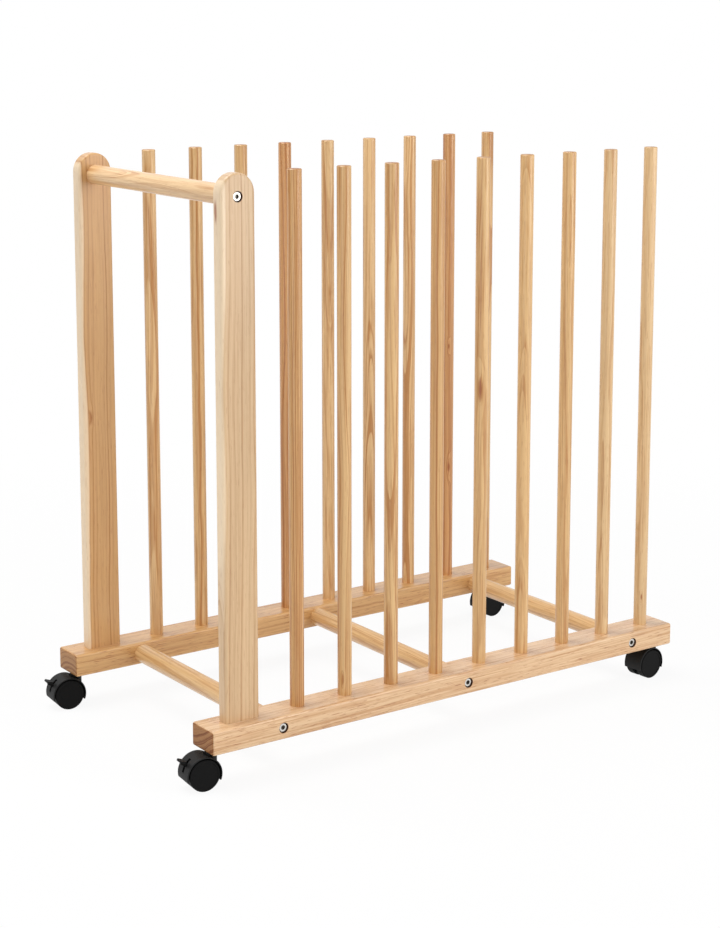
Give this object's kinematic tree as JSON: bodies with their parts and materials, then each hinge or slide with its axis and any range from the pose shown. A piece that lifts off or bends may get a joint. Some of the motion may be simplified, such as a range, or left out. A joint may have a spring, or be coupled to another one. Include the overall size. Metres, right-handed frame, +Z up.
{
  "type": "art drying rack",
  "caption": "Wheeled pine rack that holds framed pictures and canvases on edge to dry, between rows of upright rods, with a post-and-bar handle.",
  "frame": {"origin": "on the floor, midway between the two rails and midway along them", "axes": "+X runs along the rails from the handle end to the plain end; +Y runs across the rack, to the left of someone who stands at the handle end and looks along +X; +Z is up"},
  "size_m": [0.7822, 0.402, 0.745],
  "materials": {
    "pine_board": "planed, clear oiled pine",
    "pine_dowel": "sanded, clear oiled dowel",
    "nickel_bolt": "nickel plated",
    "zinc_steel": "zinc plated",
    "black_nylon": "moulded, fine satin",
    "wheel_nylon": "hard moulded, satin"
  },
  "bodies": {
    "frame": {"rail_right": "pine_board", "rail_left": "pine_board", "post_right": "pine_board", "post_left": "pine_board", "rod_right_1": "pine_dowel", "rod_right_2": "pine_dowel", "rod_right_3": "pine_dowel", "rod_right_4": "pine_dowel", "rod_right_5": "pine_dowel", "rod_right_6": "pine_dowel", "rod_right_7": "pine_dowel", "rod_right_8": "pine_dowel", "rod_right_9": "pine_dowel", "rod_left_1": "pine_dowel", "rod_left_2": "pine_dowel", "rod_left_3": "pine_dowel", "rod_left_4": "pine_dowel", "rod_left_5": "pine_dowel", "rod_left_6": "pine_dowel", "rod_left_7": "pine_dowel", "rod_left_8": "pine_dowel", "rod_left_9": "pine_dowel", "handle_bar": "pine_dowel", "cross_bar_1": "pine_dowel", "cross_bar_2": "pine_dowel", "cross_bar_3": "pine_dowel", "handle_bolts": "nickel_bolt", "rail_bolts": "nickel_bolt", "bar_inserts": "zinc_steel", "castor_inserts": "zinc_steel", "castor_stems": "zinc_steel"},
    "castor_handle_right": {"housing_handle_right": "black_nylon", "axle_handle_right": "zinc_steel"},
    "wheel_handle_right_outer": {"wheel_handle_right_outer": "wheel_nylon"},
    "wheel_handle_right_inner": {"wheel_handle_right_inner": "wheel_nylon"},
    "brake_right": {"brake_lever_right": "black_nylon"},
    "castor_handle_left": {"housing_handle_left": "black_nylon", "axle_handle_left": "zinc_steel"},
    "wheel_handle_left_outer": {"wheel_handle_left_outer": "wheel_nylon"},
    "wheel_handle_left_inner": {"wheel_handle_left_inner": "wheel_nylon"},
    "brake_left": {"brake_lever_left": "black_nylon"},
    "castor_plain_right": {"housing_plain_right": "black_nylon", "axle_plain_right": "zinc_steel"},
    "wheel_plain_right_outer": {"wheel_plain_right_outer": "wheel_nylon"},
    "wheel_plain_right_inner": {"wheel_plain_right_inner": "wheel_nylon"},
    "castor_plain_left": {"housing_plain_left": "black_nylon", "axle_plain_left": "zinc_steel"},
    "wheel_plain_left_outer": {"wheel_plain_left_outer": "wheel_nylon"},
    "wheel_plain_left_inner": {"wheel_plain_left_inner": "wheel_nylon"}
  },
  "joints": [
    {"name": "swivel_handle_right", "type": "hinge", "parent": "frame", "child": "castor_handle_right", "pos_m": [-0.362, -0.176, 0.047], "axis": [0, 0, 1], "continuous": true},
    {"name": "spin_handle_right_outer", "type": "hinge", "parent": "castor_handle_right", "child": "wheel_handle_right_outer", "pos_m": [-0.3779, -0.17419, 0.02], "axis": [0.1132, 0.9936, 0], "continuous": true},
    {"name": "spin_handle_right_inner", "type": "hinge", "parent": "castor_handle_right", "child": "wheel_handle_right_inner", "pos_m": [-0.3779, -0.17419, 0.02], "axis": [0.1132, 0.9936, 0], "continuous": true},
    {"name": "press_brake_right", "type": "hinge", "parent": "castor_handle_right", "child": "brake_right", "pos_m": [-0.3779, -0.17419, 0.02], "axis": [0.1132, 0.9936, 0], "range_deg": [-19, 8]},
    {"name": "swivel_handle_left", "type": "hinge", "parent": "frame", "child": "castor_handle_left", "pos_m": [-0.362, 0.176, 0.047], "axis": [0, 0, 1], "continuous": true},
    {"name": "spin_handle_left_outer", "type": "hinge", "parent": "castor_handle_left", "child": "wheel_handle_left_outer", "pos_m": [-0.3779, 0.17781, 0.02], "axis": [0.1132, 0.9936, 0], "continuous": true},
    {"name": "spin_handle_left_inner", "type": "hinge", "parent": "castor_handle_left", "child": "wheel_handle_left_inner", "pos_m": [-0.3779, 0.17781, 0.02], "axis": [0.1132, 0.9936, 0], "continuous": true},
    {"name": "press_brake_left", "type": "hinge", "parent": "castor_handle_left", "child": "brake_left", "pos_m": [-0.3779, 0.17781, 0.02], "axis": [0.1132, 0.9936, 0], "range_deg": [-19, 8]},
    {"name": "swivel_plain_right", "type": "hinge", "parent": "frame", "child": "castor_plain_right", "pos_m": [0.362, -0.176, 0.047], "axis": [0, 0, 1], "continuous": true},
    {"name": "spin_plain_right_outer", "type": "hinge", "parent": "castor_plain_right", "child": "wheel_plain_right_outer", "pos_m": [0.34605, -0.17726, 0.02], "axis": [-0.0785, 0.9969, 0], "continuous": true},
    {"name": "spin_plain_right_inner", "type": "hinge", "parent": "castor_plain_right", "child": "wheel_plain_right_inner", "pos_m": [0.34605, -0.17726, 0.02], "axis": [-0.0785, 0.9969, 0], "continuous": true},
    {"name": "swivel_plain_left", "type": "hinge", "parent": "frame", "child": "castor_plain_left", "pos_m": [0.362, 0.176, 0.047], "axis": [0, 0, 1], "continuous": true},
    {"name": "spin_plain_left_outer", "type": "hinge", "parent": "castor_plain_left", "child": "wheel_plain_left_outer", "pos_m": [0.34604, 0.17488, 0.02], "axis": [-0.0698, 0.9976, 0], "continuous": true},
    {"name": "spin_plain_left_inner", "type": "hinge", "parent": "castor_plain_left", "child": "wheel_plain_left_inner", "pos_m": [0.34604, 0.17488, 0.02], "axis": [-0.0698, 0.9976, 0], "continuous": true}
  ]
}
